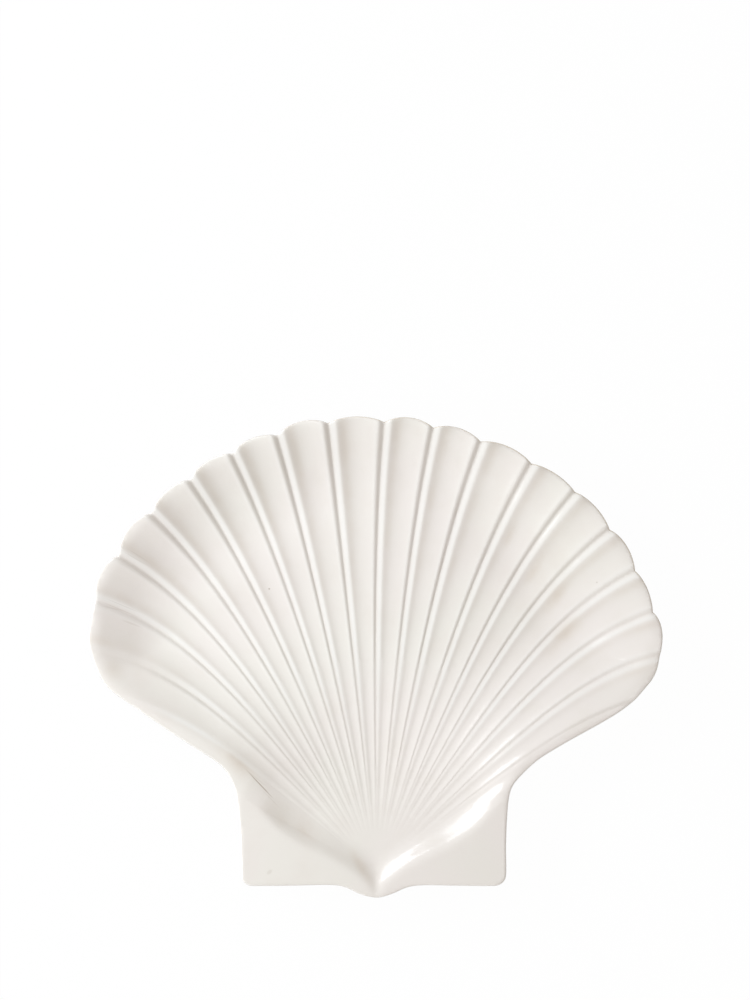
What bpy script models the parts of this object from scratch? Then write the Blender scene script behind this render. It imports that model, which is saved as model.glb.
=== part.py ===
import bpy
import numpy as np
from mathutils import Vector
from mathutils.geometry import delaunay_2d_cdt

for old in list(bpy.data.objects):
    bpy.data.objects.remove(old, do_unlink=True)

# Driving sizes, in metres. +X is to the right, +Y towards the scalloped rim, +Z up.
WIDTH = 0.320
LENGTH = 0.2683
HEIGHT = 0.030
WALL = 0.005
EDGE_REACH = 0.0017
FLOOR_DISH = 0.002
BEAK_RISE = 0.0035
FOOT_HEIGHT = 0.007
FOOT_BAND = 0.006
FOOT_LONG = 0.164
FOOT_SHORT = 0.112
FOOT_MIDDLE = 0.003
FOOT_DRAFT = 0.0012

# The plan below is drawn in millimetres and then stretched to WIDTH and LENGTH.
MM = 0.001

# Every rib starts from the beak of the shell. Angles are in degrees from +Y, clockwise: where each
# rib leaves the beak, where it meets the rim, and how far from the beak the rim is there.
BEAK = np.array((0.8, -119.7))
INNER_ANGLES = (-50.5, -43.3, -37.7, -32.8, -27.7, -22.6, -17.0, -11.9, -6.1, -0.4,
                5.8, 11.4, 17.8, 23.2, 28.4, 33.8, 39.4, 45.5, 51.4, 57.0)
RIM_ANGLES = (-60.0, -53.5, -46.1, -39.3, -32.2, -25.5, -19.1, -12.9, -6.2, 1.0,
              7.3, 13.6, 20.8, 27.6, 34.3, 40.7, 46.8, 52.6, 58.4, 64.0)
RIM_RADII = (194.0, 206.3, 218.2, 227.9, 236.5, 242.5, 247.1, 249.9, 252.0, 251.1,
             250.0, 247.2, 243.8, 239.3, 231.2, 221.6, 211.8, 199.4, 187.3, 174.9)
RIB_BEND = 3

# The rim has a notch at every rib that reaches it, and a lobe between two notches.
NOTCHES = RIM_ANGLES[2:-2]
LOBE_RISES = (4.6, 4.8, 3.6, 3.4, 3.4, 4.1, 3.0, 3.8, 3.5, 3.2, 2.3, 2.6, 3.2, 2.2, 3.5)

# The section across one pitch, from groove to groove: a narrow crest, a wide channel with its floor
# nearer to that crest, and a higher crest. Places and depths are shares of the pitch. The narrow crest
# and the channel change with the distance from the beak, and the groove has its depth at GROOVE_PLACE.
SECTION_AT = (100, 145, 189, 236)
RIGHT_CREST = (0.25, 0.205, 0.178, 0.155)
CHANNEL_DEPTH = (0.068, 0.053, 0.058, 0.081)
CHANNEL_FLOOR = 0.45
LEFT_CREST = 0.885
CREST_STEP = 0.3
GROOVE_DEPTH = 0.06
GROOVE_PLACE = 200
CHANNEL_STARTS = (14, 60)
GROOVE_STARTS = (12, 70)

# The outermost ribs run out at both sides. The first one on the left and the last ones on the right are
# faint at the rim.
FIRST_RIBS = (-0.5, 0.9)
LAST_RIBS = (17.6, 18.9)
FAINT_RIBS = (12.5, 16.5)
FAINT_FROM_BEAK = (130, 200)
FAINT_LOSS = 0.3
FIRST_FAINT_RIB = (0.9, 1.8)
FIRST_FAINT_FROM_BEAK = (155, 178)
FIRST_FAINT_LOSS = 0.75

# The plan's edge past the last notches, from the fan's left end down round the left ear, along the
# lower edge and up to the fan's right end.
LEFT_SIDE = ((-159.0, 20.0), (-160.0, 9.0), (-157.6, -1.0), (-152.6, -12.5), (-145.6, -20.0),
             (-132.0, -29.5), (-119.0, -38.5), (-105.5, -47.5), (-92.0, -56.0), (-84.5, -62.0),
             (-79.5, -70.0), (-77.2, -80.0), (-75.8, -92.0), (-75.0, -106.0), (-74.6, -121.0),
             (-73.6, -125.0), (-70.6, -127.2), (-66.0, -127.6))
LOWER_EDGE = ((-45.0, -127.4), (-26.0, -127.0), (-17.0, -128.2), (-8.0, -132.3), (1.0, -134.1),
              (9.5, -132.0), (18.0, -128.4), (27.0, -127.2), (45.0, -127.4), (63.0, -127.6))
RIGHT_SIDE = ((68.6, -127.2), (72.0, -124.9), (73.3, -120.5), (73.2, -106.0), (73.6, -93.0),
              (74.6, -80.0), (76.6, -72.5), (81.4, -66.2), (90.7, -57.6), (101.3, -50.8),
              (113.0, -44.1), (125.2, -37.4), (136.3, -30.7), (144.9, -24.0), (150.8, -17.4),
              (154.6, -12.8), (157.3, -7.4), (158.6, -1.5))
FAN_SIDE_POINTS = 11

# The line where the right ear turns down into the bowl, as distances from the beak. The left one
# mirrors it.
SHOULDER = ((84.0, 64.0), (77.8, 57.5), (67.8, 41.1), (56.7, 26.7), (43.4, 16.7), (28.9, 9.5),
            (15.6, 2.2), (6.7, -4.4), (2.0, -9.5), (0.0, -16.0))

# Where each wall of the bowl begins, gets steep, eases off and ends, in millimetres inside its line,
# and how sharply two walls meet. An ear drops by a short step and then a long slope, and the rim's wall
# grows wider by RIGHT_EXTRA across the fan's right side.
RIM_WALL = (1, 7, 22, 55)
RIGHT_EXTRA = 0.35
RIGHT_FROM = (40, 130)
EAR_STEP = (-2, 2, 5, 15)
EAR_SLOPE = (0, 5, 20, 75)
STEP_SHARE = 0.5
WALLS_MEET = 2.5

# How far from the beak the floor has come down by BEAK_RISE, and how far in from the rim it dishes.
RISE_ENDS = (50, 170)
DISH_ENDS = (40, 110)

# The underside follows the upper face with this share of its relief.
UNDERSIDE_RELIEF = 0.6


def rim_radius(angle):
    """Distance in the plan from the beak to the line through the notches."""
    return np.interp(angle, RIM_ANGLES, RIM_RADII)


def from_beak(angle, radius):
    turn = np.radians(angle)
    return np.stack((BEAK[0] + radius * np.sin(turn), BEAK[1] + radius * np.cos(turn)), axis=-1)


def beak_distance(points):
    return np.linalg.norm(points - BEAK, axis=1)


def beak_angle(points):
    offset = points - BEAK
    return np.degrees(np.arctan2(offset[:, 0], offset[:, 1]))


def smooth_curve(points, step):
    """Catmull-Rom points about a step apart through a run of points, without its last one."""
    padded = np.vstack((2 * points[0] - points[1], points, 2 * points[-1] - points[-2]))
    found = []
    for a, b, c, d in zip(padded, padded[1:], padded[2:], padded[3:]):
        parts = max(1, round(float(np.linalg.norm(c - b)) / step))
        for t in np.arange(parts) / parts:
            found.append(0.5 * (2 * b + (c - a) * t + (2 * a - 5 * b + 4 * c - d) * t**2
                                + (3 * b - a - 3 * c + d) * t**3))
    return np.array(found)


def outline(lobe_parts, step):
    """The outer edge of the platter in plan, clockwise from the first notch on the left."""
    rim = []
    for start, end, rise in zip(NOTCHES, NOTCHES[1:], LOBE_RISES):
        t = np.arange(lobe_parts) / lobe_parts
        angle = start + (end - start) * t
        rim.append(from_beak(angle, rim_radius(angle) + 4 * rise * t * (1 - t)))
    last = from_beak(NOTCHES[-1], rim_radius(NOTCHES[-1]))
    lower = np.vstack((last, RIGHT_SIDE[::-1], LOWER_EDGE[::-1], LEFT_SIDE[::-1], rim[0][0]))
    return np.vstack(rim + [smooth_curve(lower, step)])


def fan_edge():
    """The fan's edge through the tops of its lobes, from one ear round to the other."""
    angle = np.linspace(NOTCHES[0], NOTCHES[-1], 60)
    arc = from_beak(angle, rim_radius(angle) + max(LOBE_RISES))
    return np.vstack((LEFT_SIDE[FAN_SIDE_POINTS - 1 :: -1], arc, RIGHT_SIDE[: -FAN_SIDE_POINTS - 1 : -1]))


def outward(loop):
    """Unit normals of a clockwise loop."""
    along = np.roll(loop, -1, axis=0) - np.roll(loop, 1, axis=0)
    normal = np.stack((-along[:, 1], along[:, 0]), axis=-1)
    return normal / np.linalg.norm(normal, axis=1, keepdims=True)


def nearest(points, line):
    """Distance in the plan from each point to a run of straight pieces."""
    best = np.full(len(points), np.inf)
    for start, run in zip(line, np.diff(line, axis=0)):
        t = np.clip(((points - start) @ run) / (run @ run), 0, 1)
        best = np.minimum(best, np.linalg.norm(points - start - t[:, None] * run, axis=1))
    return best


def inside(points, loop):
    x, y = points.T
    odd = np.zeros(len(points), bool)
    for (x0, y0), (x1, y1) in zip(loop, np.roll(loop, -1, axis=0)):
        if y0 != y1:
            odd ^= ((y0 > y) != (y1 > y)) & (x < (x1 - x0) * (y - y0) / (y1 - y0) + x0)
    return odd


def ease(value, low, high):
    t = np.clip((value - low) / (high - low), 0, 1)
    return t * t * (3 - 2 * t)


def wall_share(distance, start, steep, slack, end):
    """Share of the depth reached: level to start, one slope from steep to slack, level from end."""
    up = np.clip(distance, start, steep) - start
    even = np.clip(distance, steep, slack) - steep
    down = np.clip(distance, slack, end) - slack
    reached = up**2 / (2 * (steep - start)) + even + down - down**2 / (2 * (end - slack))
    return reached / ((steep - start) / 2 + (slack - steep) + (end - slack) / 2)


def bowl_share(points):
    """Share of the bowl's depth at each plan point: the walls of the rim and of both ears meet."""
    right = np.vstack((smooth_curve(np.array(SHOULDER), 5), SHOULDER[-1:])) + BEAK
    left = (right - BEAK) * (-1, 1) + BEAK
    around = np.array(((100.0, -60.0), (300.0, -120.0), (300.0, 400.0)))
    bowl_side = inside(points, np.vstack((around * (-1, 1), around[::-1], right, left[::-1])))
    gentle = 1 + RIGHT_EXTRA * ease(points[:, 0], *RIGHT_FROM)
    shares = [wall_share(nearest(points, fan_edge()) / gentle, *RIM_WALL)]
    for line in (right, left):
        distance = nearest(points, line) * np.where(bowl_side, 1, -1)
        step = STEP_SHARE * wall_share(distance, *EAR_STEP)
        shares.append(step + (1 - STEP_SHARE) * wall_share(distance, *EAR_SLOPE))
    return (np.sum(np.maximum(shares, 1e-4) ** -WALLS_MEET, axis=0) - 2) ** (-1 / WALLS_MEET)


def flute(share, right, channel, groove):
    """Depth across one pitch from groove to groove, as a share of the pitch."""
    step = CREST_STEP * channel
    after = step + (groove - step) * (1 - np.clip(share / right, 0, 1)) ** 1.4
    fall = np.clip((CHANNEL_FLOOR - share) / (CHANNEL_FLOOR - right), 0, 1)
    down = channel - (channel - step) * fall**2
    rise = channel * (1 - np.clip((share - CHANNEL_FLOOR) / (LEFT_CREST - CHANNEL_FLOOR), 0, 1) ** 1.8)
    before = groove * np.clip((share - LEFT_CREST) / (1 - LEFT_CREST), 0, 1) ** 2
    return np.select((share < right, share < CHANNEL_FLOOR, share < LEFT_CREST), (after, down, rise), before)


def rib_place(points):
    """Each plan point's place among the ribs and the pitch there."""
    radius = beak_distance(points)
    angle = beak_angle(points)
    bend = np.clip(radius / rim_radius(angle), 0, 1.05)[:, None] ** RIB_BEND
    angles = INNER_ANGLES + (np.array(RIM_ANGLES) - INNER_ANGLES) * bend
    slot = np.clip((angles < angle[:, None]).sum(axis=1) - 1, 0, len(RIM_ANGLES) - 2)
    row = np.arange(len(points))
    low = angles[row, slot]
    gap = angles[row, slot + 1] - low
    return slot + np.clip((angle - low) / gap, 0, 0.9999), np.radians(gap) * radius


def flute_depths(points):
    """Depth of the flutes below the crests in millimetres at each plan point."""
    place, pitch = rib_place(points)
    radius = beak_distance(points)
    ends = ease(place, *FIRST_RIBS) * (1 - ease(place, *LAST_RIBS))
    faint = 1 - FAINT_LOSS * ease(place, *FAINT_RIBS) * ease(radius, *FAINT_FROM_BEAK)
    first = 1 - ease(place, *FIRST_FAINT_RIB)
    faint *= 1 - FIRST_FAINT_LOSS * first * ease(radius, *FIRST_FAINT_FROM_BEAK)
    right = np.interp(radius, SECTION_AT, RIGHT_CREST)
    channel = np.interp(radius, SECTION_AT, CHANNEL_DEPTH) * ease(radius, *CHANNEL_STARTS)
    groove = GROOVE_DEPTH * (radius / GROOVE_PLACE) ** 0.35 * ease(radius, *GROOVE_STARTS)
    return pitch * ends * faint * flute(place % 1, right, channel, groove)


def depths(points, relief):
    """How far a face of the bowl lies below the rim, in metres, at each plan point."""
    share = bowl_share(points)
    radius = beak_distance(points)
    floor = HEIGHT - WALL - FOOT_HEIGHT - FLOOR_DISH - BEAK_RISE * (1 - ease(radius, *RISE_ENDS))
    dish = FLOOR_DISH * ease(nearest(points, fan_edge()), *DISH_ENDS) * ease(share, 0.6, 1)
    clear_of_ears = np.maximum(ease(share, 0, 0.08), ease(radius, 110, 150))
    return floor * share + dish + relief * MM * flute_depths(points) * clear_of_ears


def rib_lines(columns, radii):
    """Runs of plan points that follow the ribs, at shares of the pitch and distances from the beak."""
    radius = np.array(radii)[:, None]
    lines = []
    for column in columns:
        start, end = [line[:-1] + column * np.diff(line) for line in (INNER_ANGLES, RIM_ANGLES)]
        angle = start
        for turn in range(6):
            angle = start + (end - start) * (radius / rim_radius(angle)) ** RIB_BEND
        lines += list(from_beak(angle.T, radius.T))
    return lines


def beak_points(radii, count):
    turn = np.arange(count) * 360 / count - 180
    return np.vstack([BEAK[None]] + [from_beak(turn, radius) for radius in radii])


def ear_points(gap, least):
    """A plain grid over both ears, clear of the beak and of the ribs."""
    x, y = np.meshgrid(np.arange(-72, 73, gap), np.arange(-124, -50, gap))
    grid = np.stack((x.ravel(), y.ravel()), axis=-1)
    return grid[(beak_distance(grid) > least) & (np.abs(beak_angle(grid)) > 61)]


def clear_of(points, loops, gap):
    """Which points lie inside the first loop and keep a gap from every loop."""
    keep = inside(points, loops[0])
    for loop in loops:
        keep &= nearest(points, np.vstack((loop, loop[:1]))) > gap
    return keep


def oval(grow):
    """A line round the foot, a little larger or smaller than its outer edge."""
    turn = np.radians(np.arange(0, 360, 7.5))
    size = np.array((FOOT_LONG / 2 + grow, FOOT_SHORT / 2 + grow))
    place = np.stack((np.cos(turn), np.sin(turn)), axis=-1) * size + (0, FOOT_MIDDLE)
    return place / stretch + middle


def plan_faces(loops, lines, points, upward):
    """Triangles over the plan inside the first loop, keeping the edges of every loop and line."""
    edges = []
    first = 0
    for loop in loops:
        edges += [(first + i, first + (i + 1) % len(loop)) for i in range(len(loop))]
        first += len(loop)
    for line in lines:
        edges += [(first + i, first + i + 1) for i in range(len(line) - 1)]
        first += len(line)
    every = [Vector(point) for point in np.vstack(loops + lines + [points])]
    places, _, faces, sources, _, _ = delaunay_2d_cdt(every, edges, [range(len(loops[0]))], 1, 1e-6)
    found = {source[0]: i for i, source in enumerate(sources) if source}
    turned = []
    for a, b, c in faces:
        up = (places[b] - places[a]).cross(places[c] - places[a]) > 0
        turned.append((a, b, c) if up == upward else (c, b, a))
    return np.array(places), turned, found


border = outline(8, 5.0)
middle = (border.max(axis=0) + border.min(axis=0)) / 2
stretch = (WIDTH, LENGTH) / (border.max(axis=0) - border.min(axis=0))
normal = outward(border)
inset = border - normal * EDGE_REACH / MM
count = len(border)

verts = []
polys = []


def add_points(plan, heights):
    first = len(verts)
    verts.extend(zip(*((plan - middle) * stretch).T, heights))
    return first


def join(ring, other):
    for i in range(count):
        j = (i + 1) % count
        polys.append((ring[i], ring[j], other[j], other[i]))


# The upper face, with grid lines along the grooves, the crests and the channels.
radii = np.array((34, 45, 57, 70, 84, 98, 112, 126, 140, 154, 167, 179, 190, 200, 210, 220, 230, 240, 249))
lines = []
for line in rib_lines((0, 0.08, 0.18, 0.3, 0.45, 0.6, 0.75, 0.885, 0.95), radii):
    line = line[clear_of(line, [inset], 1.6) & (np.abs(beak_angle(line)) < 60)]
    if len(line):
        lines.append(line)
beak_and_ears = np.vstack((beak_points((4, 9, 16, 25), 24), ear_points(8, 30)))
ends = beak_and_ears[clear_of(beak_and_ears, [inset], 2.2)]
plan, faces, found = plan_faces([inset], lines, ends, True)
first = add_points(plan, HEIGHT - depths(plan, 1.0))
polys += [tuple(first + i for i in face) for face in faces]
ring = [first + found[i] for i in range(count)]

# The rounded edge.
level = HEIGHT - depths(inset, 1.0) - WALL / 2
for bend in np.radians((50, 0, -50)):
    start = add_points(inset + normal * EDGE_REACH / MM * np.cos(bend), level + WALL / 2 * np.sin(bend))
    join(ring, range(start, start + count))
    ring = range(start, start + count)

# The underside follows the bowl with softer flutes and carries an oval foot.
foot = [oval(FOOT_DRAFT), oval(0), oval(-FOOT_BAND), oval(-FOOT_BAND - FOOT_DRAFT)]
under = np.vstack([beak_and_ears] + rib_lines((0, 0.2, 0.45, 0.75), radii[::2]))
under = under[clear_of(under, [inset], 3.0)]
foot_band = inside(under, oval(3 * FOOT_DRAFT)) & ~inside(under, oval(-FOOT_BAND - 3 * FOOT_DRAFT))
plan, faces, found = plan_faces([inset] + foot, [], under[~foot_band], False)
heights = HEIGHT - WALL - depths(plan, UNDERSIDE_RELIEF)
for i in range(count + len(foot[0]), count + 3 * len(foot[0])):
    heights[found[i]] = 0
first = add_points(plan, heights)
polys += [tuple(first + i for i in face) for face in faces]
join(ring, [first + found[i] for i in range(count)])

mesh = bpy.data.meshes.new("platter")
mesh.from_pydata(verts, [], polys)
mesh.shade_smooth()
platter = bpy.data.objects.new("platter", mesh)
bpy.context.scene.collection.objects.link(platter)

glaze = bpy.data.materials.new("warm white glaze")
glaze.use_nodes = True
shader = glaze.node_tree.nodes["Principled BSDF"]
shader.inputs["Base Color"].default_value = (0.86, 0.82, 0.774, 1)
shader.inputs["Roughness"].default_value = 0.15
mesh.materials.append(glaze)
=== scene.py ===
import bpy
import numpy as np
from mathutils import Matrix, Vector
from mathutils.geometry import delaunay_2d_cdt


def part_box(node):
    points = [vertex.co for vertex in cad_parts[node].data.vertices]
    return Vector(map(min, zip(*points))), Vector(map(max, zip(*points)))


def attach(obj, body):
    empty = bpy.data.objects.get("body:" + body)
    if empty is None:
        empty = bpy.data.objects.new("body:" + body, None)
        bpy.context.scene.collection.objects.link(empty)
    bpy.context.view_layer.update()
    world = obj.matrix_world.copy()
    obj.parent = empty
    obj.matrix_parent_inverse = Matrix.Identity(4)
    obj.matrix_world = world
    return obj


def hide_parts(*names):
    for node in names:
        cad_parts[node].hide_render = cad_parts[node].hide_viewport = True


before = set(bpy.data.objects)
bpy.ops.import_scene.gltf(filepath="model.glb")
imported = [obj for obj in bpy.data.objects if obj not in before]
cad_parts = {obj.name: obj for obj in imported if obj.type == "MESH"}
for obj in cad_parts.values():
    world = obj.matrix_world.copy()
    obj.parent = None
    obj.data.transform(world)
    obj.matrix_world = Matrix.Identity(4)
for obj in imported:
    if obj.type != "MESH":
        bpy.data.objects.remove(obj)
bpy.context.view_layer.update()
bpy.ops.object.select_all(action="DESELECT")

# The platter is one piece of white earthenware, pressed in a mould and dipped in a warm white glaze.
# Its edge is trimmed along this outline before firing: a lobe at each channel, plain sides, two square
# ears and the beak. The plan is drawn in millimetres, with angles in degrees from the beak.
MM = 0.001
LOWEST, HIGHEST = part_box("platter")
BEAK = np.array((0.8, -119.7))
RIM_ANGLES = (-60.0, -53.5, -46.1, -39.3, -32.2, -25.5, -19.1, -12.9, -6.2, 1.0,
              7.3, 13.6, 20.8, 27.6, 34.3, 40.7, 46.8, 52.6, 58.4, 64.0)
RIM_RADII = (194.0, 206.3, 218.2, 227.9, 236.5, 242.5, 247.1, 249.9, 252.0, 251.1,
             250.0, 247.2, 243.8, 239.3, 231.2, 221.6, 211.8, 199.4, 187.3, 174.9)
NOTCHES = RIM_ANGLES[2:-2]
LOBE_RISES = (4.6, 4.8, 3.6, 3.4, 3.4, 4.1, 3.0, 3.8, 3.5, 3.2, 2.3, 2.6, 3.2, 2.2, 3.5)
LOBE_PARTS = 26
LEFT_SIDE = ((-159.0, 20.0), (-160.0, 9.0), (-157.6, -1.0), (-152.6, -12.5), (-145.6, -20.0),
             (-132.0, -29.5), (-119.0, -38.5), (-105.5, -47.5), (-92.0, -56.0), (-84.5, -62.0),
             (-79.5, -70.0), (-77.2, -80.0), (-75.8, -92.0), (-75.0, -106.0), (-74.6, -121.0),
             (-73.6, -125.0), (-70.6, -127.2), (-66.0, -127.6))
LOWER_EDGE = ((-45.0, -127.4), (-26.0, -127.0), (-17.0, -128.2), (-8.0, -132.3), (1.0, -134.1),
              (9.5, -132.0), (18.0, -128.4), (27.0, -127.2), (45.0, -127.4), (63.0, -127.6))
RIGHT_SIDE = ((68.6, -127.2), (72.0, -124.9), (73.3, -120.5), (73.2, -106.0), (73.6, -93.0),
              (74.6, -80.0), (76.6, -72.5), (81.4, -66.2), (90.7, -57.6), (101.3, -50.8),
              (113.0, -44.1), (125.2, -37.4), (136.3, -30.7), (144.9, -24.0), (150.8, -17.4),
              (154.6, -12.8), (157.3, -7.4), (158.6, -1.5))
SIDE_STEP = 1.2


def rim_radius(angle):
    """Distance from the beak to the line through the notches."""
    return np.interp(angle, RIM_ANGLES, RIM_RADII)


def from_beak(angle, radius):
    """Plan points at angles and distances from the beak."""
    turn = np.radians(angle)
    return np.stack((BEAK[0] + radius * np.sin(turn), BEAK[1] + radius * np.cos(turn)), axis=-1)


def smooth_curve(points, step):
    """Catmull-Rom points about a step apart through a run of points, without its last one."""
    padded = np.vstack((2 * points[0] - points[1], points, 2 * points[-1] - points[-2]))
    found = []
    for a, b, c, d in zip(padded, padded[1:], padded[2:], padded[3:]):
        parts = max(1, round(float(np.linalg.norm(c - b)) / step))
        for t in np.arange(parts) / parts:
            found.append(0.5 * (2 * b + (c - a) * t + (2 * a - 5 * b + 4 * c - d) * t**2
                                + (3 * b - a - 3 * c + d) * t**3))
    return np.array(found)


def outline():
    """The outer edge of the platter in plan, clockwise from the first notch on the left."""
    rim = []
    for start, end, rise in zip(NOTCHES, NOTCHES[1:], LOBE_RISES):
        t = np.arange(LOBE_PARTS) / LOBE_PARTS
        angle = start + (end - start) * t
        rim.append(from_beak(angle, rim_radius(angle) + 4 * rise * t * (1 - t)))
    last = from_beak(NOTCHES[-1], rim_radius(NOTCHES[-1]))
    lower = np.vstack((last, RIGHT_SIDE[::-1], LOWER_EDGE[::-1], LEFT_SIDE[::-1], rim[0][0]))
    return np.vstack(rim + [smooth_curve(lower, SIDE_STEP)])


border = outline()
count = len(border)
middle = (border.max(axis=0) + border.min(axis=0)) / 2
across = np.array((HIGHEST.x - LOWEST.x, HIGHEST.y - LOWEST.y))
stretch = across / (border.max(axis=0) - border.min(axis=0))

# The bowl: the mould lets the clay down inside the fan's edge, with a gentler wall at the right end. At
# the ears a rounded shoulder drops in two stages, and both shoulders meet at the beak. The bowl is kept
# as a share of its full depth on a grid of millimetres, blurred as the soft clay rounds every fold.
FAN_SIDE_POINTS = 11
FAN_EDGE_POINTS = 60
RIM_WALL = (1, 7, 22, 55)
RIGHT_EXTRA = 0.35
RIGHT_FROM = (40, 130)
SHOULDER = ((84.0, 64.0), (77.8, 57.5), (67.8, 41.1), (56.7, 26.7), (43.4, 16.7), (28.9, 9.5),
            (15.6, 2.2), (6.7, -4.4), (2.0, -9.5), (0.0, -16.0))
SHOULDER_STEP = 2
EAR_STEP = (-2, 2, 5, 15)
EAR_SLOPE = (0, 5, 20, 75)
STEP_SHARE = 0.5
WALLS_MEET = 2.5
LEAST_SHARE = 1e-4
PAST_RIGHT_EAR = np.array(((100.0, -60.0), (300.0, -120.0), (300.0, 400.0)))
BELOW_BEAK = (0.0, -300.0)
GRID = np.array((-172, -146)), np.array((172, 146))
FOLD_BLUR = 1.3
FOLD_BLUR_REACH = 8


def ease(value, low, high):
    """0 up to low and 1 from high, with a smooth step between them."""
    t = np.clip((value - low) / (high - low), 0, 1)
    return t * t * (3 - 2 * t)


def fan_edge():
    """The fan's edge through the tops of its lobes, from one ear round to the other."""
    angle = np.linspace(NOTCHES[0], NOTCHES[-1], FAN_EDGE_POINTS)
    arc = from_beak(angle, rim_radius(angle) + max(LOBE_RISES))
    return np.vstack((LEFT_SIDE[FAN_SIDE_POINTS - 1 :: -1], arc, RIGHT_SIDE[: -FAN_SIDE_POINTS - 1 : -1]))


def shoulder_line(side):
    """The top of the shoulder on the left (-1) or the right (1) of the beak."""
    curve = np.vstack((smooth_curve(np.array(SHOULDER), SHOULDER_STEP), SHOULDER[-1:]))
    return curve * (side, 1) + BEAK


def nearest(points, line):
    """Distance in the plan from each point to a run of straight pieces."""
    best = np.full(len(points), np.inf)
    for start, run in zip(line, np.diff(line, axis=0)):
        t = np.clip(((points - start) @ run) / (run @ run), 0, 1)
        best = np.minimum(best, np.linalg.norm(points - start - t[:, None] * run, axis=1))
    return best


def inside(points, loop):
    """Which points lie inside a closed loop."""
    x, y = points.T
    odd = np.zeros(len(points), bool)
    for (x0, y0), (x1, y1) in zip(loop, np.roll(loop, -1, axis=0)):
        if y0 != y1:
            odd ^= ((y0 > y) != (y1 > y)) & (x < (x1 - x0) * (y - y0) / (y1 - y0) + x0)
    return odd


def wall_share(distance, start, steep, slack, end):
    """Share of the depth reached: level to start, one slope from steep to slack, level from end."""
    up = np.clip(distance, start, steep) - start
    even = np.clip(distance, steep, slack) - steep
    down = np.clip(distance, slack, end) - slack
    reached = up**2 / (2 * (steep - start)) + even + down - down**2 / (2 * (end - slack))
    return reached / ((steep - start) / 2 + (slack - steep) + (end - slack) / 2)


def bowl_field():
    """Share of the bowl's depth on a grid over the plan, blurred so that no fold stays in it."""
    low, high = GRID
    x, y = np.meshgrid(np.arange(low[0], high[0] + 1), np.arange(low[1], high[1] + 1), indexing="ij")
    points = np.stack((x.ravel(), y.ravel()), axis=-1)
    edge = fan_edge()
    within = np.where(inside(points, np.vstack((edge, BELOW_BEAK))), 1, -1)
    gentle = 1 + RIGHT_EXTRA * ease(points[:, 0], *RIGHT_FROM)
    shares = [wall_share(nearest(points, edge) * within / gentle, *RIM_WALL)]
    left, right = shoulder_line(-1), shoulder_line(1)
    around = np.vstack((PAST_RIGHT_EAR * (-1, 1), PAST_RIGHT_EAR[::-1], right, left[::-1]))
    bowl_side = np.where(inside(points, around), 1, -1)
    for line in (right, left):
        distance = nearest(points, line) * bowl_side
        step = STEP_SHARE * wall_share(distance, *EAR_STEP)
        shares.append(step + (1 - STEP_SHARE) * wall_share(distance, *EAR_SLOPE))
    field = np.sum(np.maximum(shares, LEAST_SHARE) ** -WALLS_MEET, axis=0) - (len(shares) - 1)
    field = (field ** (-1 / WALLS_MEET)).reshape(x.shape)
    blur = np.exp(-0.5 * (np.arange(-FOLD_BLUR_REACH, FOLD_BLUR_REACH + 1) / FOLD_BLUR) ** 2)
    for axis in (0, 1):
        field = np.apply_along_axis(np.convolve, axis, field, blur / blur.sum(), "same")
    return field


def sampled(field, points):
    """A smooth value between the grid's points."""
    place = np.clip(points, GRID[0] + 2, GRID[1] - 2) - GRID[0]
    near = np.rint(place).astype(int)
    off = place - near
    weights = (0.5 * (0.5 - off) ** 2, 0.75 - off**2, 0.5 * (0.5 + off) ** 2)
    total = 0
    for i, toward_x in enumerate(weights):
        for j, toward_y in enumerate(weights):
            here = field[near[:, 0] + i - 1, near[:, 1] + j - 1]
            total = total + toward_x[:, 0] * toward_y[:, 1] * here
    return total


bowl = bowl_field()

# The ribs: pressed into the same clay, they start at the beak and bend outwards towards the sides. From
# groove to groove lie a low narrow crest, a wide channel and a higher crest, with depths as shares of
# the pitch. The first rib and the last ones were pressed more faintly near the rim.
INNER_ANGLES = (-50.5, -43.3, -37.7, -32.8, -27.7, -22.6, -17.0, -11.9, -6.1, -0.4,
                5.8, 11.4, 17.8, 23.2, 28.4, 33.8, 39.4, 45.5, 51.4, 57.0)
RIB_BEND = 3
LAST_ANGLE = 62
PAST_RIM = 1.05
SECTION_AT = (100, 145, 189, 236)
RIGHT_CREST = (0.25, 0.205, 0.178, 0.155)
CHANNEL_DEPTH = (0.068, 0.053, 0.058, 0.081)
CHANNEL_FLOOR = 0.45
LEFT_CREST = 0.885
CREST_STEP = 0.3
GROOVE_CURVE = 1.4
RISE_CURVE = 1.8
GROOVE_DEPTH = 0.06
GROOVE_PLACE = 200
GROOVE_GROWTH = 0.35
CORNER_SOFTNESS = 0.02
CHANNEL_STARTS = (14, 60)
GROOVE_STARTS = (12, 70)
FIRST_RIBS = (-0.5, 0.9)
LAST_RIBS = (17.6, 18.9)
FAINT_RIBS = (12.5, 16.5)
FAINT_FROM_BEAK = (130, 200)
FAINT_LOSS = 0.3
FIRST_FAINT_RIB = (0.9, 1.8)
FIRST_FAINT_FROM_BEAK = (155, 178)
FIRST_FAINT_LOSS = 0.75


def beak_distance(points):
    return np.linalg.norm(points - BEAK, axis=1)


def beak_angle(points):
    offset = points - BEAK
    return np.degrees(np.arctan2(offset[:, 0], offset[:, 1]))


def rib_place(points):
    """Each plan point's place among the ribs, its distance from the beak and the pitch there."""
    radius = beak_distance(points)
    angle = beak_angle(points)
    reach = np.clip(radius / rim_radius(np.clip(angle, -LAST_ANGLE, LAST_ANGLE)), 0, PAST_RIM)
    angles = INNER_ANGLES + (np.array(RIM_ANGLES) - INNER_ANGLES) * reach[:, None] ** RIB_BEND
    slot = np.clip((angles < angle[:, None]).sum(axis=1) - 1, 0, len(INNER_ANGLES) - 2)
    row = np.arange(len(points))
    low = angles[row, slot]
    gap = angles[row, slot + 1] - low
    return slot + np.clip((angle - low) / gap, 0, 0.9999), radius, np.radians(gap) * radius


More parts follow.
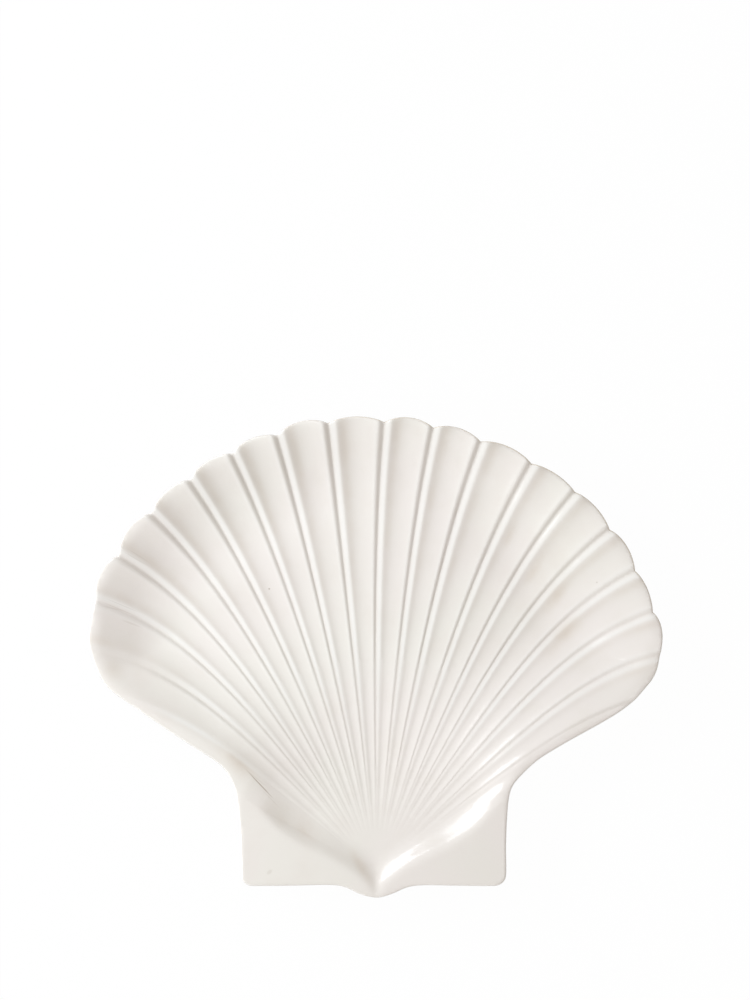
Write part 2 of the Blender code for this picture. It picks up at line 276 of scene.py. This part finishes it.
def flute(share, right, channel, groove):
    """Depth across one pitch from groove to groove; the right crest is lower than the left one."""
    step = CREST_STEP * channel
    after = step + (groove - step) * (1 - np.clip(share / right, 0, 1)) ** GROOVE_CURVE
    fall = np.clip((CHANNEL_FLOOR - share) / (CHANNEL_FLOOR - right), 0, 1)
    down = channel - (channel - step) * fall**2
    climb = np.clip((share - CHANNEL_FLOOR) / (LEFT_CREST - CHANNEL_FLOOR), 0, 1)
    rise = channel * (1 - climb**RISE_CURVE)
    before = groove * np.clip((share - LEFT_CREST) / (1 - LEFT_CREST), 0, 1) ** 2
    return np.select((share < right, share < CHANNEL_FLOOR, share < LEFT_CREST), (after, down, rise), before)


def ribbed(place):
    """1 across the fan and 0 at both of its sides, which carry no ribs."""
    return ease(place, *FIRST_RIBS) * (1 - ease(place, *LAST_RIBS))


def flute_depths(points):
    """Depth of the flutes below the crests in millimetres at each plan point."""
    place, radius, pitch = rib_place(points)
    faint = 1 - FAINT_LOSS * ease(place, *FAINT_RIBS) * ease(radius, *FAINT_FROM_BEAK)
    first_rib = 1 - ease(place, *FIRST_FAINT_RIB)
    faint *= 1 - FIRST_FAINT_LOSS * first_rib * ease(radius, *FIRST_FAINT_FROM_BEAK)
    right = np.interp(radius, SECTION_AT, RIGHT_CREST)
    channel = np.interp(radius, SECTION_AT, CHANNEL_DEPTH) * ease(radius, *CHANNEL_STARTS) * faint
    groove = GROOVE_DEPTH * (radius / GROOVE_PLACE) ** GROOVE_GROWTH * ease(radius, *GROOVE_STARTS) * faint
    shifts = np.linspace(-CORNER_SOFTNESS, CORNER_SOFTNESS, 5)
    turns = [flute((place + shift) % 1, right, channel, groove) for shift in shifts]
    return pitch * ribbed(place) * np.mean(turns, axis=0)


# The upper face of the clay: every depth is measured from the level rim in metres, and the floor rises a
# little towards the beak. The triangles follow the ribs, with a plain grid over the ears and rings round
# the beak, and lie closest where the grooves are.
RIM_LEVEL = HIGHEST.z
WALL = 0.005
FOOT_HEIGHT = 0.007
FLOOR_DISH = 0.002
DISH_FROM_RIM = (40, 110)
DISH_SHARE = (0.6, 1)
BEAK_RISE = 0.0035
RISE_ENDS = (50, 170)
SHOULDER_RIBLESS = (-0.02, 0.06)
PAST_SHOULDER = (110, 150)
EDGE_REACH = 1.0
UPPER_GAP = 0.6
SAME_POINT = 1e-6
EAR_HALF_WIDTH = 74
EAR_BOTTOM, EAR_TOP = -128, -50
FAN_ANGLE = 60
EAR_ANGLE = 60.5
BEND_ROUNDS = 6
BEAK_AREA = 24
BEAK_RINGS = np.arange(1.5, 23, 1.5)
RING_PARTS = 90
EAR_GRID = 1.5
INNER_COLUMNS = np.arange(0, 1, 0.1)
INNER_RADII = np.arange(BEAK_AREA, 60, 1.5)
MIDDLE_RADII = np.arange(60, 120, 2.0)
OUTER_COLUMNS = (0, 0.025, 0.05, 0.08, 0.11, 0.135, 0.16, 0.19, 0.23, 0.28, 0.34, 0.41,
                 0.49, 0.57, 0.65, 0.72, 0.78, 0.82, 0.85, 0.875, 0.90, 0.925, 0.95, 0.975)
OUTER_RADII = np.concatenate((np.arange(120, 200, 2.5), np.arange(200, 256, 1.5)))
verts = []
polys = []


def depths(points, relief):
    """How far a face of the bowl lies below the rim, in metres, at each plan point."""
    share = sampled(bowl, points)
    radius = beak_distance(points)
    floor = RIM_LEVEL - WALL - FOOT_HEIGHT - FLOOR_DISH - BEAK_RISE * (1 - ease(radius, *RISE_ENDS))
    dish = FLOOR_DISH * ease(nearest(points, fan_edge()), *DISH_FROM_RIM) * ease(share, *DISH_SHARE)
    clear_of_ears = np.maximum(ease(share, *SHOULDER_RIBLESS), ease(radius, *PAST_SHOULDER))
    flutes = relief * MM * flute_depths(points) * clear_of_ears
    return floor * share + dish + flutes


def outward(loop, reach):
    """Unit normals of a clockwise loop, taken over a few neighbours."""
    along = np.roll(loop, -reach, axis=0) - np.roll(loop, reach, axis=0)
    normal = np.stack((-along[:, 1], along[:, 0]), axis=-1)
    return normal / np.linalg.norm(normal, axis=1, keepdims=True)


def rib_points(columns, radii):
    """Plan points that follow the ribs, at shares of the pitch and distances from the beak."""
    found = []
    for column in columns:
        start, end = [line[:-1] + column * np.diff(line) for line in (INNER_ANGLES, RIM_ANGLES)]
        radius = np.repeat(radii[:, None], len(start), axis=1)
        angle = start
        for _ in range(BEND_ROUNDS):
            angle = start + (end - start) * (radius / rim_radius(angle)) ** RIB_BEND
        keep = np.abs(angle) < FAN_ANGLE
        found.append(from_beak(angle[keep], radius[keep]))
    return np.vstack(found)


def beak_points(radii, parts):
    """The beak and rings of points round it."""
    turn = np.arange(parts) * 360 / parts - 180
    return np.vstack([BEAK[None]] + [from_beak(turn, radius) for radius in radii])


def ear_points(gap, least):
    """A plain grid over both ears, clear of the beak and of the ribs."""
    columns = np.arange(-EAR_HALF_WIDTH, EAR_HALF_WIDTH + 1, gap)
    x, y = np.meshgrid(columns, np.arange(EAR_BOTTOM, EAR_TOP, gap))
    grid = np.stack((x.ravel(), y.ravel()), axis=-1)
    return grid[(beak_distance(grid) > least) & (np.abs(beak_angle(grid)) > EAR_ANGLE)]


def clear_of(points, loops, gap):
    """The points inside the first loop that keep a gap from every loop."""
    keep = inside(points, loops[0])
    for loop in loops:
        keep &= nearest(points, np.vstack((loop, loop[:1]))) > gap
    return points[keep]


def plan_faces(loops, points, upward):
    """Triangles over the plan inside the first loop, keeping every loop's edges."""
    edges = []
    first = 0
    for loop in loops:
        edges += [(first + i, first + (i + 1) % len(loop)) for i in range(len(loop))]
        first += len(loop)
    every = [Vector(point) for point in np.vstack(loops + [points])]
    whole = [range(len(loops[0]))]
    places, _, faces, sources, _, _ = delaunay_2d_cdt(every, edges, whole, 1, SAME_POINT)
    found = {source[0]: i for i, source in enumerate(sources) if source}
    turned = []
    for a, b, c in faces:
        up = (places[b] - places[a]).cross(places[c] - places[a]) > 0
        turned.append((a, b, c) if up == upward else (c, b, a))
    return np.array(places), turned, found


def add_points(plan, heights):
    """New points at plan places and heights; gives the number of the first one."""
    first = len(verts)
    verts.extend(zip(*((plan - middle) * stretch).T, heights))
    return first


normal = outward(border, 2)
inset = border - normal * EDGE_REACH
upper = np.vstack((beak_points(BEAK_RINGS, RING_PARTS), ear_points(EAR_GRID, BEAK_AREA),
                   rib_points(INNER_COLUMNS, INNER_RADII), rib_points(OUTER_COLUMNS[::2], MIDDLE_RADII),
                   rib_points(OUTER_COLUMNS, OUTER_RADII)))
plan, faces, found = plan_faces([inset], clear_of(upper, [inset], UPPER_GAP), True)
first = add_points(plan, RIM_LEVEL - depths(plan, 1.0))
polys += [tuple(first + i for i in face) for face in faces]
ring = [first + found[i] for i in range(count)]

# The edge: the trimmed clay is wiped round with a wet sponge. It is half an oval across, as high as the
# wall is thick, and it goes up and down with the lobes and the channels behind it.
EDGE_BENDS = (67.5, 45, 22.5, 0, -22.5, -45, -67.5)


def join(ring, other):
    """A band of faces between two rings of points along the outline."""
    for i in range(count):
        j = (i + 1) % count
        polys.append((ring[i], ring[j], other[j], other[i]))


edge_middle = RIM_LEVEL - depths(inset, 1.0) - WALL / 2
edge_first = len(verts)
for bend in np.radians(EDGE_BENDS):
    start = add_points(inset + normal * EDGE_REACH * np.cos(bend), edge_middle + WALL / 2 * np.sin(bend))
    join(ring, range(start, start + count))
    ring = range(start, start + count)
edge_last = len(verts)

# The underside and the foot: the wall's lower face follows the bowl with softer flutes, as clay pressed
# from above does. An oval foot with slightly sloping sides is part of the same piece and stands level.
UNDERSIDE_RELIEF = 0.6
UNDERSIDE_GAP = 0.8
UNDERSIDE_COLUMNS = np.arange(0, 1, 0.125)
UNDERSIDE_RADII = np.arange(34, 256, 4.0)
UNDERSIDE_BEAK_AREA = 32
UNDERSIDE_RINGS = np.arange(3, 30, 4)
UNDERSIDE_RING_PARTS = 36
UNDERSIDE_GRID = 4
FOOT_LONG = 164.0
FOOT_SHORT = 112.0
FOOT_MIDDLE = 3.0
FOOT_BAND = 6.0
FOOT_DRAFT = 1.2
FOOT_TURN = 3


def oval(grow):
    """A line round the foot, a little larger or smaller than its outer edge."""
    turn = np.radians(np.arange(0, 360, FOOT_TURN))
    size = np.array((FOOT_LONG / 2 + grow, FOOT_SHORT / 2 + grow))
    place = np.stack((np.cos(turn), np.sin(turn)), axis=-1) * size + (0, FOOT_MIDDLE)
    return place * MM / stretch + middle


foot = [oval(FOOT_DRAFT), oval(0), oval(-FOOT_BAND), oval(-FOOT_BAND - FOOT_DRAFT)]
under = np.vstack((beak_points(UNDERSIDE_RINGS, UNDERSIDE_RING_PARTS),
                   ear_points(UNDERSIDE_GRID, UNDERSIDE_BEAK_AREA),
                   rib_points(UNDERSIDE_COLUMNS, UNDERSIDE_RADII)))
under = clear_of(under, [inset], UNDERSIDE_GAP)
foot_band = inside(under, oval(2 * FOOT_DRAFT)) & ~inside(under, oval(-FOOT_BAND - 2 * FOOT_DRAFT))
plan, faces, found = plan_faces([inset] + foot, under[~foot_band], False)
heights = RIM_LEVEL - WALL - depths(plan, UNDERSIDE_RELIEF)
for i in range(count + len(foot[0]), count + 3 * len(foot[0])):
    heights[found[i]] = 0
first = add_points(plan, heights)
polys += [tuple(first + i for i in face) for face in faces]
join(ring, [first + found[i] for i in range(count)])

mesh = bpy.data.meshes.new("shell_platter")
mesh.from_pydata(verts, [], polys)
mesh.shade_smooth()

# Painted shade, painted highlights and brown marks in the glaze. Painted shade, with a little gathered
# glaze, darkens the grooves and the low side of each channel. Painted shade and gathered glaze darken a
# band down the left shoulder, the side away from the window. The smudges (x, y, angle, length, width,
# darkness) are brown marks, except the one left of the beak and the two wide faint ones on the right,
# which are painted shade. A painted highlight lightens the crests. Each is a value on the mesh's points
# that the glaze reads.
# Painted shade, with a little gathered glaze, in the grooves and on the low side of each channel.
GROOVE_SHADE, GROOVE_WIDTH = 0.06, 0.9
GROOVE_SHADE_FROM_BEAK = (50, 150)
CHANNEL_SHADE, CHANNEL_SHADE_AT, CHANNEL_SHADE_WIDTH = 0.3, 0.27, 0.1
CHANNEL_SHADE_FROM_BEAK = (110, 230)
RIB_SHADE_START = (25, 60)
SHOULDER_SHADE, SHOULDER_SHADE_WIDTH = 0.08, 4
SHOULDER_SHADE_ENDS = (85, 120)
BOWL_BEGINS = 0.03
# Brown marks in the glaze, except the one left of the beak and the two wide faint ones at (96, 50) and (72,
# 88), which are painted shade.
SMUDGES_AND_SHADE = ((75.5, 69.0, 24, 12, 2.6, 0.4), (90.5, 51.0, 31, 14, 3.2, 0.5),
           (102.0, 34.5, 36, 12, 3.8, 0.55), (105.5, 12.5, 44, 13, 4.2, 0.6),
           (96.0, 50.0, 33, 50, 20, 0.15), (72.0, 88.0, 20, 30, 16, 0.1),
           (-71.0, -65.5, 137, 16, 2.4, 1.0), (-66.0, -69.5, 128, 6, 1.2, 0.9),
           (-61.0, -80.0, 133, 12, 1.4, 0.6), (-53.0, -88.0, 128, 20, 5, 0.3),
           (-44.0, -95.0, 124, 13, 1.6, 0.45), (-7.5, -117.0, 145, 9, 2.4, 0.7),
           (-146.0, -7.0, 80, 5, 6, 0.25))
# A painted highlight along both crests beside each groove.
RIGHT_CREST_HIGHLIGHT, RIGHT_CREST_AT, RIGHT_CREST_WIDTH = 0.6, 0.65, 0.4
LEFT_CREST_HIGHLIGHT, LEFT_CREST_WIDTH = 0.25, 0.06
HIGHLIGHT_FIRST_RIB, HIGHLIGHT_FIRST_ENDS = (0.9, 2), (130, 170)
HIGHLIGHT_LAST_RIBS = (16.6, 18)
HIGHLIGHT_FROM_BEAK = (60, 130)


def band(distance, width):
    return np.exp(-((distance / width) ** 2))


def stains_and_shade(points):
    """How dark and brown the glaze is painted, for painted shade and brown marks alike."""
    place, radius, pitch = rib_place(points)
    share = place % 1
    # Painted shade, with a little gathered glaze, in the grooves and on the low side of each channel.
    groove = GROOVE_SHADE * band(np.minimum(share, 1 - share) * pitch, GROOVE_WIDTH)
    groove *= ease(radius, *GROOVE_SHADE_FROM_BEAK)
    channel = CHANNEL_SHADE * band(share - CHANNEL_SHADE_AT, CHANNEL_SHADE_WIDTH)
    channel *= ease(radius, *CHANNEL_SHADE_FROM_BEAK)
    # Painted shade and gathered glaze in a band down the left shoulder, the side away from the window.
    below_top = nearest(points, shoulder_line(-1)) - SHOULDER_SHADE_WIDTH
    shoulder = SHOULDER_SHADE * band(below_top, SHOULDER_SHADE_WIDTH)
    shoulder *= (sampled(bowl, points) > BOWL_BEGINS) * (1 - ease(radius, *SHOULDER_SHADE_ENDS))
    found = np.maximum((groove + channel) * ribbed(place) * ease(radius, *RIB_SHADE_START), shoulder)
    for x, y, angle, length, width, dark in SMUDGES_AND_SHADE:
        turn = np.radians(angle)
        offset = points - (x, y)
        lengthways = offset @ (np.sin(turn), np.cos(turn))
        sideways = offset @ (np.cos(turn), -np.sin(turn))
        found = np.maximum(found, dark * band(lengthways, length) * band(sideways, width))
    return found


def crest_highlights(points):
    """How strong the painted highlight is, on the side of each narrow crest towards its groove."""
    place, radius, _ = rib_place(points)
    share = place % 1
    right = RIGHT_CREST_HIGHLIGHT * band(share / np.interp(radius, SECTION_AT, RIGHT_CREST) - RIGHT_CREST_AT,
                                     RIGHT_CREST_WIDTH)
    left = LEFT_CREST_HIGHLIGHT * band(share - LEFT_CREST, LEFT_CREST_WIDTH)
    first_rib = 1 - (1 - ease(place, *HIGHLIGHT_FIRST_RIB)) * ease(radius, *HIGHLIGHT_FIRST_ENDS)
    last_ribs = 1 - ease(place, *HIGHLIGHT_LAST_RIBS)
    return first_rib * last_ribs * ease(radius, *HIGHLIGHT_FROM_BEAK) * (right + left)


on_plan = np.array(verts)[:, :2] / stretch + middle
on_edge = np.zeros(len(verts))
on_edge[edge_first:edge_last] = 1
for name, values in (("edge", on_edge), ("stain_and_shade", stains_and_shade(on_plan)), ("crest", crest_highlights(on_plan))):
    mesh.attributes.new(name, "FLOAT", "POINT").data.foreach_set("value", values)

# The glaze: a glossy warm white over the whole piece, a little cloudy and wavy from dipping. It is brown
# where it gathers and where shade is painted. Its edge is browner towards the right and the top, from wear
# and painted shade, and paler towards the front, which is painted light. A painted highlight lies on the
# crests. Specks of the clay's iron and one dark hairline show through (x, y, half length, half width,
# turn, darkness), with finer lines beside them; the faint lines near the left rim are a painted reflection.
WARM_WHITE = (0.857, 0.825, 0.772, 1)
PINKISH_WHITE = (0.868, 0.818, 0.781, 1)
CREAM = (0.83, 0.785, 0.73, 1)
# A painted highlight for the crests.
PAINTED_HIGHLIGHT = (0.93, 0.92, 0.895, 1)
# Brown for gathered glaze and for painted shade.
GATHERED_GLAZE_AND_SHADE = (0.70, 0.61, 0.51, 1)
# Edge colours: brown from wear and painted shade, and pale from painted light.
WORN_AND_SHADED_EDGE = (0.81, 0.72, 0.60, 1)
PAINTED_LIGHT_EDGE = (0.94, 0.91, 0.87, 1)
MARK_BROWN = (0.36, 0.28, 0.20, 1)
GLAZE_MIRROR = 0.4
# Iron specks and a hairline with finer lines, then seven faint lines near the left rim that are a painted
# reflection.
MARKS_AND_REFLECTIONS = ((-59.8, 38.2, 0.6, 0.6, 0, 0.5), (123.7, 41.6, 0.5, 0.5, 0, 0.3),
          (-58.9, -119.7, 2.0, 1.2, 40, 0.15), (-64.5, -71.0, 11, 0.4, -47, 0.6),
          (-66.5, -67.5, 9, 0.35, -40, 0.15), (-59.0, -78.5, 8, 0.35, -46, 0.12),
          (-141.6, 28.8, 11, 0.3, -23, 0.16), (-142.6, 26.4, 11, 0.35, -23, 0.14),
          (-147.5, 27.2, 6, 0.4, -13, 0.12), (-136.5, 18.6, 6, 0.6, -21, 0.13),
          (-134.0, 54.8, 8, 0.4, -31, 0.16), (-132.5, 56.6, 7, 0.35, -33, 0.12),
          (-131.0, 46.4, 8, 0.35, -37, 0.12))
MARK_FADES = (0.4, 1.2)


def object_place(tree):
    """A place on the object, in metres from its origin."""
    return tree.nodes.new("ShaderNodeTexCoord").outputs["Object"]


def noise(tree, scale, detail):
    """Soft spots, as many to a metre as the scale says."""
    texture = tree.nodes.new("ShaderNodeTexNoise")
    texture.inputs["Scale"].default_value = scale
    texture.inputs["Detail"].default_value = detail
    tree.links.new(object_place(tree), texture.inputs["Vector"])
    return texture.outputs["Fac"]


def attribute(tree, name):
    """The value that the mesh's points carry under a name."""
    part = tree.nodes.new("ShaderNodeAttribute")
    part.attribute_name = name
    return part.outputs["Fac"]


def in_range(value, low, high, at_low=0.0, at_high=1.0):
    """A smooth step from at_low, where the value is low, to at_high."""
    tree = value.id_data
    part = tree.nodes.new("ShaderNodeMapRange")
    part.interpolation_type = "SMOOTHSTEP"
    part.inputs["From Min"].default_value = low
    part.inputs["From Max"].default_value = high
    part.inputs["To Min"].default_value = at_low
    part.inputs["To Max"].default_value = at_high
    tree.links.new(value, part.inputs["Value"])
    return part.outputs["Result"]


def combined(operation, first, second):
    """The product or the larger one of two values; second is a socket or a number."""
    tree = first.id_data
    part = tree.nodes.new("ShaderNodeMath")
    part.operation = operation
    tree.links.new(first, part.inputs[0])
    if isinstance(second, float):
        part.inputs[1].default_value = second
    else:
        tree.links.new(second, part.inputs[1])
    return part.outputs[0]


def mixed(share, under, over):
    """One colour over another; under is a socket or a colour."""
    tree = share.id_data
    part = tree.nodes.new("ShaderNodeMix")
    part.data_type = "RGBA"
    tree.links.new(share, part.inputs["Factor"])
    if isinstance(under, tuple):
        part.inputs["A"].default_value = under
    else:
        tree.links.new(under, part.inputs["A"])
    part.inputs["B"].default_value = over
    return part.outputs["Result"]


def uneven(shader, height, strength, distance):
    """Waves or grain on a surface."""
    tree = shader.id_data
    part = tree.nodes.new("ShaderNodeBump")
    part.inputs["Strength"].default_value = strength
    part.inputs["Distance"].default_value = distance
    tree.links.new(height, part.inputs["Height"])
    tree.links.new(part.outputs[0], shader.inputs["Normal"])


def dark_mark(tree, x, y, length, width, turn, dark):
    """How dark an oval spot or a line is, at a place in millimetres."""
    spot = tree.nodes.new("ShaderNodeMapping")
    spot.vector_type = "TEXTURE"
    spot.inputs["Location"].default_value = (x * MM, y * MM, 0)
    spot.inputs["Rotation"].default_value = (0, 0, np.radians(turn))
    spot.inputs["Scale"].default_value = (length * MM, width * MM, 1)
    tree.links.new(object_place(tree), spot.inputs["Vector"])
    far = tree.nodes.new("ShaderNodeVectorMath")
    far.operation = "LENGTH"
    tree.links.new(spot.outputs[0], far.inputs[0])
    return in_range(far.outputs["Value"], *MARK_FADES, dark, 0)


def glazed():
    """The glaze as a material, with its colours laid over each other."""
    glaze = bpy.data.materials.new("warm_white_glaze")
    glaze.use_nodes = True
    tree = glaze.node_tree
    shader = tree.nodes["Principled BSDF"]
    colour = mixed(in_range(noise(tree, 14, 3), 0.35, 0.65), WARM_WHITE, PINKISH_WHITE)
    colour = mixed(in_range(noise(tree, 55, 4), 0.45, 0.75, 0, 0.5), colour, CREAM)
    # A painted highlight on the crests.
    colour = mixed(attribute(tree, "crest"), colour, PAINTED_HIGHLIGHT)
    # Painted shade in the ribs and on the left shoulder, together with brown marks in the glaze.
    patchy = in_range(noise(tree, 70, 5), 0.3, 0.65, 0.35, 1)
    colour = mixed(combined("MULTIPLY", attribute(tree, "stain_and_shade"), patchy), colour, GATHERED_GLAZE_AND_SHADE)
    axes = tree.nodes.new("ShaderNodeSeparateXYZ")
    tree.links.new(object_place(tree), axes.inputs[0])
    # The edge is browner towards the right and the top, from wear and painted shade.
    worn_and_shaded = in_range(noise(tree, 120, 3), 0.3, 0.6, 0.3, 0.8)
    worn_and_shaded = combined("MULTIPLY", worn_and_shaded, in_range(axes.outputs["X"], -0.08, 0.04, 0.05, 1))
    worn_and_shaded = combined("MULTIPLY", worn_and_shaded, in_range(axes.outputs["Y"], -0.02, 0.06, 0.15, 1))
    colour = mixed(combined("MULTIPLY", attribute(tree, "edge"), worn_and_shaded), colour, WORN_AND_SHADED_EDGE)
    # The edge is paler towards the front, which is painted light.
    lit_lower_edge = in_range(axes.outputs["Y"], -0.03, 0.03, 0.8, 0)
    colour = mixed(combined("MULTIPLY", attribute(tree, "edge"), lit_lower_edge), colour, PAINTED_LIGHT_EDGE)
    # Iron specks, a hairline and a painted reflection of faint lines near the left rim.
    for spot in MARKS_AND_REFLECTIONS:
        colour = mixed(dark_mark(tree, *spot), colour, MARK_BROWN)
    tree.links.new(colour, shader.inputs["Base Color"])
    tree.links.new(in_range(noise(tree, 40, 3), 0.3, 0.7, 0.1, 0.2), shader.inputs["Roughness"])
    uneven(shader, noise(tree, 75, 2), 0.5, 0.0002)
    shader.inputs["Specular IOR Level"].default_value = GLAZE_MIRROR
    return glaze


mesh.materials.append(glazed())
platter = bpy.data.objects.new("shell_platter", mesh)
bpy.context.scene.collection.objects.link(platter)
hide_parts("platter")
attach(platter, "root")

# The table: a plain sheet of matt white paper that lies flat, a hair below the foot that rests on it.
# The camera sees it nearly pure white, and it keeps only a faint shadow of the platter.
TABLE_SIZE = 8
TABLE_LEVEL = -0.0003
DULL_WHITE = (0.89, 0.89, 0.89, 1)
PAPER_WHITE = (0.91, 0.91, 0.905, 1)
SHADOW_FADES = 0.98
bpy.ops.mesh.primitive_plane_add(size=TABLE_SIZE, location=(0, 0, TABLE_LEVEL))
table = bpy.context.object
table.name = "table"


def seen_share(tree, most):
    """A value that is most for rays from the camera and from mirrors, and 0 for the light."""
    path = tree.nodes.new("ShaderNodeLightPath")
    seen = combined("MAXIMUM", path.outputs["Is Camera Ray"], path.outputs["Is Glossy Ray"])
    seen = combined("MAXIMUM", seen, path.outputs["Is Transmission Ray"])
    return combined("MULTIPLY", seen, most)


def white_over(tree, lower, white, most, output):
    """White light over a surface or a background, for what the camera and mirrors see."""
    mix = tree.nodes.new("ShaderNodeMixShader")
    tree.links.new(seen_share(tree, most), mix.inputs["Fac"])
    tree.links.new(lower.outputs[0], mix.inputs[1])
    tree.links.new(white.outputs[0], mix.inputs[2])
    tree.links.new(mix.outputs[0], tree.nodes[output].inputs["Surface"])


def white_paper():
    """Matt white paper with a fine grain."""
    paper = bpy.data.materials.new("white_paper")
    paper.use_nodes = True
    tree = paper.node_tree
    sheet = tree.nodes["Principled BSDF"]
    cloudy = in_range(noise(tree, 9, 3), 0.35, 0.65)
    tree.links.new(mixed(cloudy, DULL_WHITE, PAPER_WHITE), sheet.inputs["Base Color"])
    tree.links.new(in_range(noise(tree, 30, 2), 0.3, 0.7, 0.85, 0.95), sheet.inputs["Roughness"])
    uneven(sheet, noise(tree, 900, 2), 0.1, 0.0001)
    white = tree.nodes.new("ShaderNodeEmission")
    white.inputs["Strength"].default_value = 1.0
    white_over(tree, sheet, white, SHADOW_FADES, "Material Output")
    return paper


table.data.materials.append(white_paper())

# The light: one wide soft window high on the left gives the shading across the ribs. A small pane beside
# it gives the gleam on the right shoulder, and a weak lamp low in front lifts the shadows. The room is
# an even warm white.
LAMPS = (("window", (-0.745, 0.25, 0.616), 9.25, 1.3, 0.3, (0.875, 0.94, 1.0)),
         ("gleam", (-0.5, 0.44, 0.8), 0.15, 0.22, 0.05, (1, 1, 1)),
         ("low", (-0.05, -0.6, 0.5), 0.72, 0.6, 0.6, (1, 1, 1)))
ROOM_COLOUR = (1, 0.945, 0.885, 1)
ROOM_STRENGTH = 0.47
for name, place, watts, wide, tall, colour in LAMPS:
    lamp = bpy.data.lights.new(name, "AREA")
    lamp.shape = "RECTANGLE"
    lamp.size = wide
    lamp.size_y = tall
    lamp.color = colour
    lamp.energy = watts
    holder = bpy.data.objects.new(name, lamp)
    holder.location = place
    holder.rotation_euler = (-holder.location).to_track_quat("-Z", "Y").to_euler()
    bpy.context.scene.collection.objects.link(holder)

room = bpy.data.worlds.new("room")
room.use_nodes = True
glow = room.node_tree.nodes["Background"]
glow.inputs["Color"].default_value = ROOM_COLOUR
glow.inputs["Strength"].default_value = ROOM_STRENGTH
white = room.node_tree.nodes.new("ShaderNodeBackground")
white.inputs["Color"].default_value = (1, 1, 1, 1)
white_over(room.node_tree, glow, white, 1.0, "World Output")
bpy.context.scene.world = room

# The camera: it hangs straight above the platter and looks down. The picture is 1000 pixels tall, and
# the platter is 575.5 pixels wide in its lower part.
PICTURE_TALL = 1000
PLATTER_WIDE = 575.5
LENS = 100
SENSOR = 36
view = bpy.data.cameras.new("camera")
view.lens = LENS
view.sensor_fit = "VERTICAL"
view.sensor_height = SENSOR
view.shift_x = -0.0005
view.shift_y = 0.1568
camera = bpy.data.objects.new("camera", view)
camera.location = (0, 0, RIM_LEVEL + LENS / SENSOR * PICTURE_TALL / (PLATTER_WIDE / across[0]))
bpy.context.scene.collection.objects.link(camera)
bpy.context.scene.camera = camera
bpy.context.scene.view_settings.view_transform = "Standard"

bpy.context.view_layer.update()
